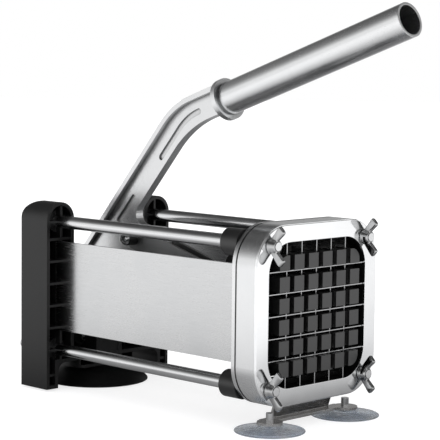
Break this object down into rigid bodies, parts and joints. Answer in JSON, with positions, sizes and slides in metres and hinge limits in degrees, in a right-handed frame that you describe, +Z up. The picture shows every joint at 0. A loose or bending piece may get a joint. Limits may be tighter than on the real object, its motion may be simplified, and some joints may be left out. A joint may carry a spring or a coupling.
{
  "type": "french fry cutter",
  "caption": "Hand lever cutter with a square blade grid, a pegged pusher on guide rods, side panels, a bent lever with a tube handle, and suction cup feet.",
  "frame": {"origin": "middle of the bounding box's footprint, on the plane of the suction cups' rims", "axes": "+X forward to the blades, +Y to the left, +Z up"},
  "size_m": [0.2932, 0.107, 0.2431],
  "materials": {
    "cast_frame": "satin",
    "face_plate": "polished",
    "blade_frame": "moulded",
    "blades": "polished",
    "rods": "polished",
    "fasteners": "polished",
    "wing_nuts": "polished cast",
    "bracket": "moulded",
    "side_panels": "brushed",
    "foot_strip": "satin",
    "clear_cups": "clear",
    "rear_cup": "matte",
    "pusher": "moulded",
    "pegs": "moulded",
    "sleeves": "moulded",
    "links": "brushed",
    "lever": "blasted",
    "handle_tube": "satin",
    "bolt_sleeve": "black"
  },
  "bodies": {
    "base": {"front_frame": "cast_frame", "face_plate": "face_plate", "blade_frame": "blade_frame", "vertical_blades": "blades", "horizontal_blades": "blades", "rod_upper_left": "rods", "rod_upper_right": "rods", "rod_lower_left": "rods", "rod_lower_right": "rods", "rod_rear_nuts": "fasteners", "rear_bracket": "bracket", "side_panel_left": "side_panels", "side_panel_right": "side_panels", "foot_strip": "foot_strip", "foot_strip_screws": "fasteners", "front_suction_cup_left": "clear_cups", "front_suction_cup_right": "clear_cups", "front_cup_studs": "fasteners", "rear_suction_cup": "rear_cup", "rear_cup_stud": "fasteners", "lever_axle": "fasteners", "axle_clips": "fasteners"},
    "pusher": {"pusher_carriage": "pusher", "peg_block": "pegs", "peg_block_screws": "fasteners", "guide_sleeve_upper_left": "sleeves", "guide_sleeve_upper_right": "sleeves", "guide_sleeve_lower_left": "sleeves", "guide_sleeve_lower_right": "sleeves"},
    "link": {"link_plate_left": "links", "link_plate_right": "links", "link_pin": "fasteners"},
    "lever": {"lever_arm": "lever", "handle_tube": "handle_tube", "link_bolt": "fasteners", "link_bolt_sleeve": "bolt_sleeve", "link_bolt_nut": "fasteners"},
    "wing_nut_upper_left_body": {"wing_nut_upper_left": "wing_nuts"},
    "wing_nut_upper_right_body": {"wing_nut_upper_right": "wing_nuts"},
    "wing_nut_lower_left_body": {"wing_nut_lower_left": "wing_nuts"},
    "wing_nut_lower_right_body": {"wing_nut_lower_right": "wing_nuts"}
  },
  "joints": [
    {"name": "lever_pivot", "type": "hinge", "parent": "base", "child": "lever", "pos_m": [-0.11585, 0, 0.0293], "axis": [0, -1, 0], "range_deg": [0, 67.2]},
    {"name": "pusher_slide", "type": "slide", "parent": "base", "child": "pusher", "axis": [1, 0, 0], "range_m": [-0.09, 0]},
    {"name": "link_pivot", "type": "hinge", "parent": "lever", "child": "link", "pos_m": [-0.07085, 0, 0.097], "axis": [0, -1, 0], "range_deg": [-67.2, 0]},
    {"name": "wing_nut_turn_upper_left", "type": "hinge", "parent": "base", "child": "wing_nut_upper_left_body", "pos_m": [0.08115, 0.0405, 0.1074], "axis": [1, 0, 0], "continuous": true},
    {"name": "wing_nut_turn_upper_right", "type": "hinge", "parent": "base", "child": "wing_nut_upper_right_body", "pos_m": [0.08115, -0.0405, 0.1074], "axis": [1, 0, 0], "continuous": true},
    {"name": "wing_nut_turn_lower_left", "type": "hinge", "parent": "base", "child": "wing_nut_lower_left_body", "pos_m": [0.08115, 0.0405, 0.0254], "axis": [1, 0, 0], "continuous": true},
    {"name": "wing_nut_turn_lower_right", "type": "hinge", "parent": "base", "child": "wing_nut_lower_right_body", "pos_m": [0.08115, -0.0405, 0.0254], "axis": [1, 0, 0], "continuous": true}
  ],
  "couplings": [
    {"joint": "pusher_slide", "follows": "lever_pivot", "m_per_rad": -0.076735},
    {"joint": "link_pivot", "follows": "lever_pivot", "ratio": -1}
  ]
}
